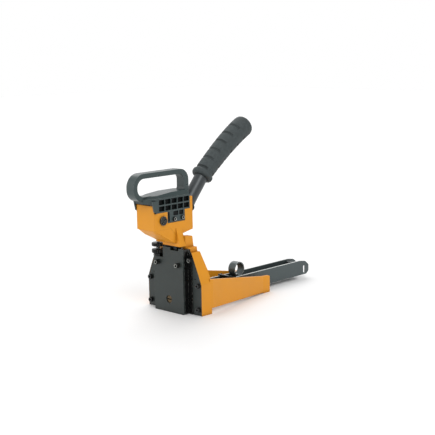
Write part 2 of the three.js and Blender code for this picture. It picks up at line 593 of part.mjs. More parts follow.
function driverBlade() {
  const { halfWidth, front, back, bottom } = DRIVER;
  const blade = box(-halfWidth, halfWidth, front, back, bottom, 84);
  return cut(blade, bothSides(bar('y', M4.hole, 10, 20, DRIVER_SCREW.x, DRIVER_SCREW.z, 10)));
}

function driverScrew(side) {
  return socketScrew(side * DRIVER_SCREW.x, DRIVER_SCREW.z, 7.7, 3, 10.5, 3.5);
}

// A claw that swings on its pin: a hub, a spoke and a curved tooth concentric with the pin.
function clincher(side) {
  const { x, z, inner, outer, front, back } = CLINCHER;
  const [tip, root] = [-23, 52].map(THREE.MathUtils.degToRad);
  const points = [];
  const steps = 10;
  for (let k = 0; k <= steps; k += 1) {
    const angle = tip + (root - tip) * k / steps;
    const radius = k === 0 ? inner + 2.6 : outer;
    points.push([x + radius * Math.cos(angle), z + radius * Math.sin(angle)]);
  }
  for (let k = steps; k >= 0; k -= 1) {
    const angle = tip + (root - tip) * k / steps;
    points.push([x + inner * Math.cos(angle), z + inner * Math.sin(angle)]);
  }
  const claw = prismY(points, front, back);
  const spokeEnd = [x + 17 * Math.cos(root - 0.2), z + 17 * Math.sin(root - 0.2)];
  const spoke = prismY([[x - 2, z + 3.4], [x + 3.4, z - 2], [spokeEnd[0] + 2, spokeEnd[1] - 2.6],
    [spokeEnd[0] - 3, spokeEnd[1] + 1.4]], front, back);
  const hub = bar('y', 5, front, back, x, z);
  const body = cut(joined(claw, spoke, hub), bar('y', 2.8, front - 1, back + 1, x, z));
  return side > 0 ? body : body.mirror([1, 0, 0]);
}

function clincherPin(side) {
  return bar('y', 2.5, RECESS_BACK + 0.4, CAVITY_BACK - GAP, side * CLINCHER.x, CLINCHER.z, 20);
}

// ---------------------------------------------------------------- staple rail and pusher
function stapleRail() {
  const { half, wall, bottom, top, front, back } = MAGAZINE;
  const sideView = prismX([[front, bottom], [back - 6, bottom, 2], [back, 12, 3], [back, 23, 4],
    [back - 9, 30, 6], [294, top], [front, top]], -half, half);
  const channel = cut(sideView, box(-half + wall, half - wall, front - 1, back + 1, bottom + wall, top + 1));
  const hookSlot = prismX([[306.5, 9.6], [311, 9.6], [311, 22.5, 1.5], [306.5, 22.5, 1.5]], -20, 20);
  const floorSlot = box(-7, 7, 302, back + 1, 0, 12);
  const screwHoles = Object.values(RAIL_SCREW_Y).map((y) => bar('z', M4.hole, 0, 10, 0, y, 10));
  return cut(channel, hookSlot, floorSlot, ...screwHoles);
}

function endStop() {
  const inner = MAGAZINE.half - MAGAZINE.wall - GAP;
  const floor = MAGAZINE.bottom + MAGAZINE.wall + GAP;
  const block = prismX([[290, floor], [302, floor], [304.5, 27, 3], [290, 30.5, 2]], -inner, inner);
  const hollow = box(-inner + 3, inner - 3, 293, 306, 20, 33);
  return cut(block, bar('z', M4.hole, 0, 20, 0, RAIL_SCREW_Y.end, 16), hollow);
}

function endStopScrew() {
  const y = RAIL_SCREW_Y.end;
  return joined(bar('z', M4.shank, 5.4, 17, 0, y, 16), bar('z', 3.8, 4.4, 6.6, 0, y, 20));
}

function pusherBlock() {
  const { front, back } = PUSHER;
  const inner = MAGAZINE.half - MAGAZINE.wall - 0.5;
  const crossTop = MAGAZINE.top + 2.2;
  const body = box(-inner, inner, front, back, 14.5, 28);
  const neck = box(-inner, inner, front, front + 4, 27, crossTop);
  const cross = box(-15.9, 15.9, front, front + 4, MAGAZINE.top + 0.4, crossTop);
  const skirt = box(MAGAZINE.half + 0.4, 15.9, front, front + 9, 15, crossTop);
  const springRoom = box(-6.5, 6.5, front + 8, back + 1, 12, 25);
  return cut(joined(body, neck, cross, bothSides(skirt)), springRoom,
    bar('z', M4.hole, 20, 30, 0, PUSHER.ringY, 10));
}

function fingerRing() {
  const { ringY, ringZ, ringRadius, band } = PUSHER;
  const hoop = cut(bar('x', ringRadius, -7, 7, ringY, ringZ, 40),
    bar('x', ringRadius - band, -8, 8, ringY, ringZ, 40));
  const tab = box(-7, 7, ringY - 8, ringY + 8, 28.3, 30.4);
  return cut(joined(hoop, tab), bar('z', M4.hole, 20, 33, 0, ringY, 10));
}

function ringRivet() {
  const y = PUSHER.ringY;
  return joined(bar('z', M4.shank, 25.3, 32.6, 0, y, 12), bar('z', 2.9, 32.3, 33.3, 0, y, 16));
}

// A roll spring: its roll lies in the pusher and its tape runs to the front of the rail.
function pusherSpring() {
  const [y, z, radius] = [PUSHER.back - 11, 17.8, 5.6];
  const roll = cut(bar('x', radius, -5, 5, y, z), bar('x', 2.6, -6, 6, y, z));
  const tape = box(-4.5, 4.5, 30, y, z - radius, z - radius + 0.5);
  return joined(roll, tape);
}

// ---------------------------------------------------------------- build
const sides = [['left', -1], ['right', 1]];

add('nose_casting', cut(noseCasting(), screwPath(0, RAIL_SCREW_Y.front)), ORANGE);
add('head_casting', headCasting(), ORANGE);
add('front_plate', frontPlate(), GREY_STEEL);
add('window_plug', windowPlug(), BRASS);
add('stud_bracket', studBracket(), BLACK_STEEL);
add('adjusting_stud', adjustingStud(), BRIGHT_STEEL);
add('adjusting_knob', knurledDisc(KNOB), BLACK_STEEL);
add('lock_nut', knurledDisc(LOCK_NUT), BLACK_STEEL);
for (const [name, side] of sides) {
  add(`side_rail_${name}`, sideRail(side), BLACK_STEEL);
  add(`wing_cover_${name}`, wingCover(side), GREY_STEEL);
  add(`plate_screw_${name}`, socketScrew(side * PLATE_SCREW.x, PLATE_SCREW.z, -GAP, 6, 12), BRIGHT_STEEL);
  add(`rail_screw_${name}`,
    socketScrew(side * FOOT_SCREW.x, FOOT_SCREW.z, RAIL.footFront - GAP, 4.4, 14, 3.6), BRIGHT_STEEL);
  add(`cover_screw_upper_${name}`,
    socketScrew(side * COVER_SCREW.x, COVER_SCREW.upperZ, NOSE.front - GAP, 4.4, 13), BLACK_STEEL);
  add(`cover_screw_lower_${name}`,
    socketScrew(side * COVER_SCREW.x, COVER_SCREW.lowerZ, NOSE.front - GAP, 4.4, 13), BLACK_STEEL);
  add(`neck_bolt_${name}`, neckBolt(side), BLACK_STEEL);
  add(`handle_screw_front_${name}`, handleScrew(side, HANDLE_SCREWS[0]), BRIGHT_STEEL);
  add(`handle_screw_rear_${name}`, handleScrew(side, HANDLE_SCREWS[1]), BRIGHT_STEEL);
  add(`lever_plate_${name}`, leverPlate(side), BLACK_STEEL);
  add(`driver_screw_${name}`, driverScrew(side), BRIGHT_STEEL);
  add(`clincher_${name}`, clincher(side), BRIGHT_STEEL);
  add(`clincher_pin_${name}`, clincherPin(side), BRIGHT_STEEL);
}
add('loop_handle', loopHandle(), PLASTIC);
add('pivot_pin', pivotPin(), BLACK_STEEL);
add('pivot_retaining_ring', retainingRing(), BRIGHT_STEEL);
add('pivot_bush', tubeOfX(6.4, 4.8, -10.6, 10.6, PIVOT.y, PIVOT.z), BRASS);
add('lever_tube', leverTube(), TUBE_STEEL);
add('lever_rivet', rivet(), BLACK_STEEL);
add('grip', grip(), RUBBER);
add('drive_pin', bar('x', 3, -13.9, 13.9, DRIVE_PIN.y, DRIVE_PIN.z), BRIGHT_STEEL);
add('drive_roller', tubeOfX(ROLLER_RADIUS, 3.3, -5.4, 5.4, DRIVE_PIN.y, DRIVE_PIN.z), BRIGHT_STEEL);
add('spring_pin', bar('x', 1.5, -13.4, 13.4, SPRING.y, SPRING.tailZ, 12), BRIGHT_STEEL);
add('spring_anchor_pin', bar('x', 2, -16.3, 16.3, SPRING.y, SPRING.anchorZ, 12), BRIGHT_STEEL);
add('return_spring',
  springWire(SPRING.y, SPRING.anchorZ + 2.8, SPRING.tailZ - 2.6, 2.5, 0.6, 5), BRIGHT_STEEL);
add('ram_block', ramBlock(), BLACK_STEEL);
add('driver_blade', driverBlade(), TUBE_STEEL);
add('staple_rail', stapleRail(), GREY_STEEL);
add('rail_end_stop', endStop(), BRIGHT_STEEL);
add('end_stop_screw', endStopScrew(), BRIGHT_STEEL);
add('magazine_screw_front', railScrew(0, RAIL_SCREW_Y.front), BRIGHT_STEEL);
add('magazine_screw_rear', railScrew(0, RAIL_SCREW_Y.rear), BRIGHT_STEEL);
add('pusher_block', pusherBlock(), BLACK_STEEL);
add('finger_ring', fingerRing(), GREY_STEEL);
add('ring_rivet', ringRivet(), BRIGHT_STEEL);
add('pusher_spring', pusherSpring(), BRIGHT_STEEL);

stapler.position.y = -FOOTPRINT_CENTRE_Y;
const assembly = new THREE.Group();
assembly.add(stapler);
export default assembly;
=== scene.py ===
"""Looks for a manual carton stapler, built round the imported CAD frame.

Flat and cast pieces are copies of their CAD nodes with merged faces and rounded edges. Screws, pins, the
grip, the lever tube and the return spring are made here from profiles. Places come from the CAD nodes'
boxes; the lever's line and the few sizes that no box gives repeat the CAD's own numbers. Lengths are in
metres, in the part's frame: +X right seen from the nose, +Y back along the staple rail, +Z up.
"""
import json
import math

import bmesh
import bpy
from mathutils import Matrix, Vector


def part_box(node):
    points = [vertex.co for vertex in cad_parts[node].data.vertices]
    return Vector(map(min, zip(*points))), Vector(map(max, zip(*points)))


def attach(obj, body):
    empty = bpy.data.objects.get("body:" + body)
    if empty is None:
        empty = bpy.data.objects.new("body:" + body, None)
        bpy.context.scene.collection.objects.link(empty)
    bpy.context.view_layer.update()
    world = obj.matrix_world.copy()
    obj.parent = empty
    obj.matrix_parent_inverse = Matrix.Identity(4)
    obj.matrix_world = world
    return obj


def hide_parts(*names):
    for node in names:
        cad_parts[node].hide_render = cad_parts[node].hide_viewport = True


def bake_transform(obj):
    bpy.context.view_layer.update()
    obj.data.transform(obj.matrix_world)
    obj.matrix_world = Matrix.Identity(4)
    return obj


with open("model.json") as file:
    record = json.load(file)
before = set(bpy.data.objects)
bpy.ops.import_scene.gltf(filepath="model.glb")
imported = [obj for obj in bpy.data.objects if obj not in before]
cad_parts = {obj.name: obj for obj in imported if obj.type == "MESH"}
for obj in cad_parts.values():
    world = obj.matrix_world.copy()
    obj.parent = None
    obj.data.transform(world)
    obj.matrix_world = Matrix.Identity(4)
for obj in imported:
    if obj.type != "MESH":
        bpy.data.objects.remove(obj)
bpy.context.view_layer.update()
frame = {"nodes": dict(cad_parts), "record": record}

MM = 0.001
# For each axis, the indices of the two coordinates across it and of its own.
AXES = {"x": (1, 2, 0), "y": (0, 2, 1), "z": (0, 1, 2)}

# ---------------------------------------------------------------- materials


def srgb(red, green, blue):
    """An sRGB colour, 0 to 255, as linear RGBA."""
    linear = [((c / 255 + 0.055) / 1.055) ** 2.4 if c > 10 else c / 255 / 12.92 for c in (red, green, blue)]
    return (*linear, 1)


def shade(color, factor):
    """The colour made lighter or darker by a factor."""
    return (*[min(1, c * factor) for c in color[:3]], 1)


class Graph:
    """A material's node tree, with short calls to add and join nodes."""

    def __init__(self, name):
        self.material = bpy.data.materials.new(name)
        self.material.use_nodes = True
        self.tree = self.material.node_tree
        self.shader = self.tree.nodes["Principled BSDF"]
        self.place = self.add("ShaderNodeTexCoord").outputs["Object"]

    def add(self, kind, inputs=(), **properties):
        node = self.tree.nodes.new(kind)
        for key, value in properties.items():
            setattr(node, key, value)
        for socket, value in dict(inputs).items():
            if isinstance(value, bpy.types.NodeSocket):
                self.tree.links.new(value, node.inputs[socket])
            else:
                node.inputs[socket].default_value = value
        return node

    def noise(self, size, detail=3.0, stretch=(1, 1, 1)):
        """Noise whose features are about size across, drawn out along the axes where stretch is below 1."""
        place = self.add("ShaderNodeMapping", {"Vector": self.place, "Scale": stretch}).outputs["Vector"]
        inputs = {"Vector": place, "Scale": 1 / size, "Detail": detail, "Roughness": 0.55}
        return self.add("ShaderNodeTexNoise", inputs).outputs["Fac"]

    def ramp(self, value, low, high, bottom=0.0, top=1.0):
        """value from low to high becomes bottom to top, and stays there outside."""
        inputs = {"Value": value, "From Min": low, "From Max": high, "To Min": bottom, "To Max": top}
        return self.add("ShaderNodeMapRange", inputs).outputs["Result"]

    def math(self, operation, a, b):
        return self.add("ShaderNodeMath", {0: a, 1: b}, operation=operation).outputs["Value"]

    def mix(self, factor, a, b):
        node = self.add("ShaderNodeMix", data_type="RGBA")
        for socket, value in ((0, factor), (6, a), (7, b)):
            if isinstance(value, bpy.types.NodeSocket):
                self.tree.links.new(value, node.inputs[socket])
            else:
                node.inputs[socket].default_value = value
        return node.outputs[2]

    def edges(self, radius):
        """1 on sharp outer and inner edges, 0 on flat ground."""
        rounded = self.add("ShaderNodeBevel", {"Radius": radius}, samples=4).outputs["Normal"]
        flat = self.add("ShaderNodeNewGeometry").outputs["Normal"]
        dot = self.add("ShaderNodeVectorMath", {0: rounded, 1: flat}, operation="DOT_PRODUCT")
        return self.ramp(dot.outputs["Value"], 0.995, 0.9)

    def openness(self, reach):
        """1 in the open, falling towards 0 in corners and pockets narrower than the reach."""
        return self.add("ShaderNodeAmbientOcclusion", {"Distance": reach}, samples=6).outputs["AO"]

    def feed(self, socket, value):
        if isinstance(value, bpy.types.NodeSocket):
            self.tree.links.new(value, self.shader.inputs[socket])
        else:
            self.shader.inputs[socket].default_value = value


NOISE_LOW, NOISE_HIGH = 0.3, 0.7   # most of a noise texture's values lie between these
CORNER_REACH = 7 * MM


def finish(name, color, roughness, metallic=0.0, specular=0.5, mottle=0.08, mottle_size=22 * MM,
           grain=(0.5 * MM, 0.03 * MM, 0.6), stretch=(1, 1, 1), rub_glint=None, rub_glint_share=0.5, rub_glint_width=0.5 * MM,
           painted_shade=0.0):
    """A finish with cloudy colour and gloss, a fine relief, and edges tinted as wear and painted highlight.

    mottle is the share by which the colour varies. grain is the relief's (size, depth, strength), and
    stretch draws it out into brush marks. The last argument darkens corners and pockets as painted shade.
    """
    graph = Graph(name)
    cloud = graph.noise(mottle_size, 4.0)
    grain_size, grain_depth, grain_strength = grain
    fine = graph.noise(grain_size, 2.0, stretch)
    cloudy = graph.ramp(cloud, NOISE_LOW, NOISE_HIGH)
    body = graph.mix(cloudy, shade(color, 1 - mottle), shade(color, 1 + mottle))
    body = graph.mix(graph.ramp(fine, 0.25, 0.75, 0.0, 0.35), body, shade(color, 1 - 2 * mottle))
    gloss = graph.ramp(cloud, NOISE_LOW, NOISE_HIGH, roughness - 0.05, roughness + 0.06)
    # Edges take a second colour: rubbed wear, and on some finishes a painted highlight.
    if rub_glint:
        patchy = graph.ramp(graph.noise(3 * MM, 5.0), 0.42, 0.62)
        rub_glint_mask = graph.math("MULTIPLY", graph.edges(rub_glint_width), patchy)
        rub_glint_mask = graph.math("MULTIPLY", rub_glint_mask, rub_glint_share)
        body = graph.mix(rub_glint_mask, body, rub_glint)
    # Painted shade: the colour darkens to near black in corners and pockets, where less light reaches.
    if painted_shade:
        painted_shade_mask = graph.ramp(graph.openness(CORNER_REACH), 0.4, 0.92, painted_shade, 0.0)
        body = graph.mix(painted_shade_mask, body, shade(color, 0.04))
    graph.feed("Base Color", body)
    graph.feed("Roughness", gloss)
    graph.feed("Metallic", metallic)
    graph.feed("Specular IOR Level", specular)
    bump = graph.add("ShaderNodeBump", {"Height": fine, "Distance": grain_depth, "Strength": grain_strength})
    graph.feed("Normal", bump.outputs["Normal"])
    return graph.material


# The corner darkening set on the finishes below is painted shade.
BARE_METAL = srgb(160, 161, 157)
ORANGE = finish("orange_powder_coat", srgb(220, 146, 32), 0.42, specular=0.28, mottle=0.04,
                mottle_size=40 * MM, grain=(0.9 * MM, 0.05 * MM, 0.5), rub_glint=srgb(178, 118, 60), rub_glint_share=0.6,
                rub_glint_width=0.7 * MM, painted_shade=0.45)
GREY_STEEL = finish("phosphated_steel", srgb(40, 48, 46), 0.44, metallic=0.1, mottle=0.16,
                    mottle_size=14 * MM, grain=(0.35 * MM, 0.02 * MM, 0.6), rub_glint=BARE_METAL, rub_glint_share=0.6,
                    painted_shade=0.5)
# The rail's edges and top faces turn near white: rubbed metal, and a painted highlight.
RAIL_STEEL = finish("drawn_rail_steel", srgb(72, 82, 83), 0.38, metallic=0.25, mottle=0.1,
                    grain=(0.5 * MM, 0.02 * MM, 0.6), stretch=(1, 0.04, 1), rub_glint=srgb(214, 218, 216),
                    rub_glint_share=1.0, rub_glint_width=0.6 * MM, painted_shade=0.5)
RAIL_EDGE_HIGHLIGHT = finish("rail_edge_rubbed_and_highlight", srgb(214, 218, 216), 0.3, metallic=0.2, mottle=0.08)
# The guides' edges turn grey: a painted highlight along them, and some rubbed wear.
GUIDE_STEEL = finish("black_guide_steel", srgb(9, 10, 10), 0.26, specular=0.4, mottle=0.2,
                     grain=(0.4 * MM, 0.015 * MM, 0.5), stretch=(1, 1, 0.05), rub_glint=srgb(128, 128, 122),
                     rub_glint_share=1.0, rub_glint_width=0.7 * MM)
BLACK_STEEL = finish("black_oxide", srgb(11, 12, 12), 0.3, specular=0.32, mottle=0.2,
                     grain=(0.4 * MM, 0.015 * MM, 0.5), rub_glint=srgb(92, 92, 88), rub_glint_share=0.6)
TUBE_STEEL = finish("satin_tube_steel", srgb(66, 70, 72), 0.36, metallic=0.35, mottle=0.1,
                    grain=(0.4 * MM, 0.02 * MM, 0.5), rub_glint=BARE_METAL, rub_glint_share=0.5)
# Light grey with near-white edges, for the flat ring of black screw heads: a painted highlight.
SCREW_FACE_HIGHLIGHT = finish("screw_face_painted_highlight", srgb(150, 152, 147), 0.32, metallic=0.5, mottle=0.12,
                     mottle_size=5 * MM, grain=(0.25 * MM, 0.015 * MM, 0.5), rub_glint=srgb(224, 224, 220),
                     rub_glint_share=0.8, rub_glint_width=0.3 * MM)
BRIGHT_STEEL = finish("ground_steel", srgb(176, 178, 176), 0.3, metallic=0.9, mottle=0.08,
                      grain=(0.3 * MM, 0.015 * MM, 0.6), stretch=(1, 1, 0.1), rub_glint=srgb(220, 220, 216))
# Its edges turn the pale teal grey of its lit top: a painted sheen, and some rubbed wear.
PLASTIC = finish("moulded_plastic", srgb(40, 57, 57), 0.32, mottle=0.06, specular=0.6,
                 grain=(0.45 * MM, 0.04 * MM, 0.5), rub_glint=srgb(132, 144, 144), rub_glint_share=0.7, painted_shade=0.97)
# Near black, for the floors of the handle's pockets: painted shade.
POCKET_SHADE = finish("painted_shade_in_pockets", srgb(13, 15, 16), 0.6, specular=0.2, mottle=0.1)
# Its edges turn pale: a painted highlight, and some rubbed wear.
DARK_STEEL = finish("dark_turned_steel", srgb(44, 45, 43), 0.3, metallic=0.4, mottle=0.2,
                    mottle_size=4 * MM, grain=(0.3 * MM, 0.015 * MM, 0.5), rub_glint=srgb(176, 172, 162),
                    rub_glint_share=1.0)
RUBBER = finish("grip_rubber", srgb(66, 73, 74), 0.66, mottle=0.22, mottle_size=4 * MM, specular=0.35,
                grain=(0.7 * MM, 0.12 * MM, 0.9), rub_glint=srgb(104, 112, 112), rub_glint_share=0.3, painted_shade=0.95)
# Its edges turn pale: a painted highlight, and some rubbed wear.
BRASS = finish("turned_brass", srgb(98, 82, 58), 0.25, metallic=0.8, mottle=0.35, mottle_size=3 * MM,
               grain=(0.25 * MM, 0.015 * MM, 0.5), rub_glint=srgb(226, 214, 186), rub_glint_share=0.8, rub_glint_width=0.3 * MM,
               painted_shade=0.7)

# ---------------------------------------------------------------- making pieces

SHARP = math.radians(33)            # edges that turn by more get rounded and stay hard
WELD = 2e-6                         # how far apart the CAD's copies of one corner may be
FLAT = math.radians(0.6)            # triangles that turn by less are one face


def body_of(node):
    return next(body for body, nodes in frame["record"]["behaviour"]["bodies"].items() if node in nodes)


def piece(name, bm, material, node, stretch=None):
    """A finished mesh that stands for a CAD node, takes the given material, rides on its body and hides the
    node.

    A spring's stretch is (other body, start, end). When it is given, the mesh is only baked in place
    and rides on no body; the three values are not used.
    """
    mesh = bpy.data.meshes.new(name)
    bmesh.ops.recalc_face_normals(bm, faces=bm.faces)
    bm.to_mesh(mesh)
    bm.free()
    mesh.materials.append(material)
    mesh.shade_smooth()
    mesh.set_sharp_from_angle(angle=SHARP)
    thing = bpy.data.objects.new(name, mesh)
    bpy.context.scene.collection.objects.link(thing)
    normals = thing.modifiers.new("flat_faces_stay_flat", "WEIGHTED_NORMAL")
    normals.keep_sharp = True
    if stretch:
        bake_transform(thing)
    else:
        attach(thing, body_of(node))
    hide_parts(node)
    return thing


def sharp_edges(bm, chosen):
    return [e for e in bm.edges if e.is_manifold and e.calc_face_angle(0) > SHARP and chosen(e)]


def refined(node, material, rounds=(), edge=0.3 * MM, stretch=None):
    """A CAD node's shape with its triangles merged into faces and its edges rounded.

    rounds is a list of (radius, segments, choice); choice says which sharp edges get that radius. What
    stays sharp gets a small edge.
    """
    bm = bmesh.new()
    bm.from_mesh(frame["nodes"][node].data)
    bmesh.ops.remove_doubles(bm, verts=bm.verts, dist=WELD)
    bmesh.ops.dissolve_limit(bm, angle_limit=FLAT, verts=bm.verts, edges=bm.edges)
    for radius, segments, choice in rounds:
        round_edges(bm, sharp_edges(bm, choice), radius, segments)
    if edge:
        round_edges(bm, sharp_edges(bm, lambda e: True), edge, 1)
    return piece(f"{node}_finished", bm, material, node, stretch)


def round_edges(bm, edges, radius, segments):
    bmesh.ops.bevel(bm, geom=edges, offset=radius, offset_type="OFFSET", segments=segments, profile=0.5,
                    affect="EDGES", clamp_overlap=True)


def skin(bm, rings, loop=False):
    """Faces between rings of vertices; a ring of one vertex is a pole."""
    pairs = list(zip(rings, rings[1:] + rings[:1] if loop else rings[1:]))
    for a, b in pairs:
        count = max(len(a), len(b))
        for k in range(count):
            following = (k + 1) % count
            corners = [a[k % len(a)], a[following % len(a)], b[following % len(b)], b[k % len(b)]]
            unique = list(dict.fromkeys(corners))
            bm.faces.new(unique)


def turned(bm, axis, centre, profile, segments=48, loop=False):
    """A turned shape on an axis. profile is a list of (radius, place along the axis).

    A radius may be a function of the angle. centre holds the two coordinates across the axis.
    """
    across_a, across_b, along = AXES[axis]
    rings = []
    for radius, place in profile:
        ring = []
        for k in range(segments if radius else 1):
            angle = 2 * math.pi * k / segments
            size = radius(angle) if callable(radius) else radius
            point = [0.0, 0.0, 0.0]
            point[across_a] = centre[0] + size * math.cos(angle)
            point[across_b] = centre[1] + size * math.sin(angle)
            point[along] = place
            ring.append(bm.verts.new(point))
        rings.append(ring)
    skin(bm, rings, loop)


def hexagon(flat_radius):
    """The outline of a hex socket as a function of the angle."""
    sixth = math.pi / 3
    return lambda angle: flat_radius / math.cos(angle % sixth - sixth / 2)


def fluted(radius, depth, count):
    """A knurled outline: a circle with rounded notches."""
    return lambda angle: radius - depth * max(0.0, math.cos(count * angle)) ** 2


def centre_and_span(node, axis):
    """The middle of a node's box across an axis, its low and high end along it, and its outer radius."""
    low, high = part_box(node)
    a, b, along = AXES[axis]
    centre = ((low[a] + high[a]) / 2, (low[b] + high[b]) / 2)
    return centre, low[along], high[along], (high[a] - low[a]) / 2


def turned_piece(node, material, axis, profile, centre, segments=48, loop=False):
    bm = bmesh.new()
    turned(bm, axis, centre, profile, segments, loop)
    return piece(f"{node}_turned", bm, material, node)


# ---------------------------------------------------------------- screws, pins and turned pieces


def paint_face_ring(bm, axis, centre, place, inner, outer):
    """Gives the second material to the flat ring between two radii at a place along the axis."""
    across_a, across_b, along = AXES[axis]
    for face in bm.faces:
        middle = face.calc_center_median()
        distance = math.hypot(middle[across_a] - centre[0], middle[across_b] - centre[1])
        if abs(middle[along] - place) < 0.4 * MM and inner < distance < outer:
            face.material_index = 1


SOCKET_DEPTH_SHARE = 0.62   # of the head's height
KNURL_DEPTH = 0.16 * MM


def socket_screw(node, axis, head_at, head_height, socket=1.9 * MM, shank=2 * MM, face=SCREW_FACE_HIGHLIGHT):
    """A black socket head screw whose head is at the low (-1) or high (+1) end of its axis.

    The flat ring round its socket takes the face material, by default light grey as a painted highlight.
    """
    centre, low, high, radius = centre_and_span(node, axis)
    start, length = (low, high - low) if head_at < 0 else (high, high - low)
    inward = -head_at
    depth = head_height * SOCKET_DEPTH_SHARE
    knurl = fluted(radius, KNURL_DEPTH, 24)
    socket_steps = [(0, depth + 0.5 * MM), (hexagon(socket * 0.98), depth), (hexagon(socket), 0.35 * MM),
                    (socket * 1.22, 0.02 * MM)]
    head_steps = [(radius - 0.75 * MM, 0), (radius - 0.35 * MM, 0.12 * MM), (knurl, 0.55 * MM),
                  (knurl, head_height - 0.35 * MM), (radius - 0.3 * MM, head_height)]
    shank_steps = [(shank, head_height), (shank, length - 0.4 * MM), (shank - 0.4 * MM, length), (0, length)]
    steps = socket_steps + head_steps + shank_steps
    profile = [(size, start + inward * place) for size, place in steps]
    bm = bmesh.new()
    turned(bm, axis, centre, profile, 96)
    # The ring round the socket gets the face material, by default a painted highlight.
    paint_face_ring(bm, axis, centre, start, socket * 1.05, radius - 0.6 * MM)
    screw = piece(f"{node}_turned", bm, BLACK_STEEL, node)
    screw.data.materials.append(face)
    return screw


def plain_pin(node, material, axis):
    centre, low, high, radius = centre_and_span(node, axis)
    chamfer = 0.35 * MM
    profile = [(0, low), (radius - chamfer, low), (radius, low + chamfer), (radius, high - chamfer),
               (radius - chamfer, high), (0, high)]
    return turned_piece(node, material, axis, profile, centre)


def ring_piece(node, material, axis, bore):
    centre, low, high, radius = centre_and_span(node, axis)
    chamfer = 0.3 * MM
    profile = [(bore, low + chamfer), (bore + chamfer, low), (radius - chamfer, low), (radius, low + chamfer),
               (radius, high - chamfer), (radius - chamfer, high), (bore + chamfer, high),
               (bore, high - chamfer)]
    return turned_piece(node, material, axis, profile, centre, loop=True)


def knurled_disc(node, bore=3.3 * MM):
    """A knurled thumb nut: notched rim, chamfers and a shallow step on both faces."""
    centre, low, high, radius = centre_and_span(node, "z")
    notches = 18
    rim = fluted(radius, 1.0 * MM, notches)
    rim_chamfer = fluted(radius - 0.5 * MM, 0.7 * MM, notches)
    collar = radius * 0.62
    step = 0.35 * MM
    half = [(bore, low + 0.4 * MM), (bore + 0.4 * MM, low), (collar, low), (collar + 0.3 * MM, low + step),
            (radius - 1.5 * MM, low + step), (rim_chamfer, low + step + 0.15 * MM),
            (rim, low + step + 0.75 * MM)]
    other = [(size, low + high - place) for size, place in reversed(half)]
    return turned_piece(node, BLACK_STEEL, "z", half + other, centre, 8 * notches, loop=True)


def threaded_stud(node, pitch=0.8 * MM, depth=0.42 * MM):
    """A stud with rings for its thread and a plain root at both ends."""
    centre, low, high, radius = centre_and_span(node, "z")
    profile = [(0, low), (radius - depth, low)]
    turns = int((high - low - pitch) / pitch)
    for k in range(turns):
        crest = low + pitch * (k + 0.5)
        profile += [(radius - depth, crest - 0.28 * pitch), (radius, crest - 0.06 * pitch),
                    (radius, crest + 0.06 * pitch)]
    profile += [(radius - depth, low + pitch * (turns + 0.2)), (radius - depth, high), (0, high)]
    return turned_piece(node, BRIGHT_STEEL, "z", profile, centre)


SIDES = ("left", "right")
for side in SIDES:
    outward = 1 if side == "right" else -1
    socket_screw(f"plate_screw_{side}", "y", -1, 6 * MM)
    socket_screw(f"rail_screw_{side}", "y", -1, 4.4 * MM)
    socket_screw(f"cover_screw_upper_{side}", "y", -1, 4.4 * MM, face=TUBE_STEEL)
    socket_screw(f"cover_screw_lower_{side}", "y", -1, 4.4 * MM, face=TUBE_STEEL)
    socket_screw(f"driver_screw_{side}", "y", -1, 3 * MM)
    socket_screw(f"neck_bolt_{side}", "y", 1, 3.6 * MM, face=BLACK_STEEL)
    socket_screw(f"handle_screw_front_{side}", "x", outward, 2 * MM, socket=1.6 * MM)
    socket_screw(f"handle_screw_rear_{side}", "x", outward, 2 * MM, socket=1.6 * MM)
    plain_pin(f"clincher_pin_{side}", BRIGHT_STEEL, "y")
plain_pin("drive_pin", BRIGHT_STEEL, "x")
plain_pin("spring_pin", BRIGHT_STEEL, "x")
plain_pin("spring_anchor_pin", BRIGHT_STEEL, "x")
ring_piece("drive_roller", BRIGHT_STEEL, "x", 3.3 * MM)
ring_piece("pivot_bush", BRASS, "x", 4.8 * MM)
knurled_disc("adjusting_knob")
knurled_disc("lock_nut")
threaded_stud("adjusting_stud")

# ---------------------------------------------------------------- castings, plates and blocks


def near(value, target, tolerance=0.4 * MM):
    return abs(value - target) < tolerance


def both(edge, test):
    """Whether the test holds at both ends of an edge."""
    return all(test(v.co) for v in edge.verts)


def paint_where(thing, material, chosen):
    """Gives a piece a second material on the faces that chosen(centre, normal) picks."""
    thing.data.materials.append(material)
    for face in thing.data.polygons:
        if chosen(face.center, face.normal):
            face.material_index = 1


HEAD_LOW, HEAD_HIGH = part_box("head_casting")
NOSE_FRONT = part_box("wing_cover_right")[0].y
RAIL_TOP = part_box("staple_rail")[1].z
# What the boxes don't give: half the head's width, the nose rim's inner and upper ends, half the hoop's
# width and where it starts, and how far from the middle the floors of the handle's pockets lie.
HEAD_HALF = 18.6 * MM
NOSE_RIM_INNER, NOSE_RIM_TOP = 36 * MM, 92 * MM
HOOP_HALF, HOOP_BOTTOM = 8 * MM, 187 * MM
POCKET_DEEPEST, POCKET_SHALLOWEST = 14.2 * MM, 17.4 * MM
RAIL_HIGHLIGHT_HEIGHT = 0.75 * MM   # of the rail's upper edges: rubbed metal and painted highlight

refined("head_casting", ORANGE, [
    (2.2 * MM, 4, lambda e: both(e, lambda p: near(p.y, HEAD_LOW.y, 1.2 * MM))),
    (1.2 * MM, 3, lambda e: both(e, lambda p: abs(p.x) > HEAD_HALF - 0.5 * MM and near(p.y, HEAD_HIGH.y))),
], edge=0.5 * MM)

# The nose's narrow rim outside the wing covers is flush with them, and its front faces are dark grey.
paint_where(refined("nose_casting", ORANGE, edge=0.6 * MM), GREY_STEEL,
            lambda c, n: (near(c.y, NOSE_FRONT) and abs(c.x) > NOSE_RIM_INNER and c.z < NOSE_RIM_TOP
                          and n.y < -0.3))

handle = refined("loop_handle", PLASTIC, [
    (1.8 * MM, 3, lambda e: both(e, lambda p: near(abs(p.x), HOOP_HALF, 0.1 * MM) and p.z > HOOP_BOTTOM)),
], edge=0.35 * MM)
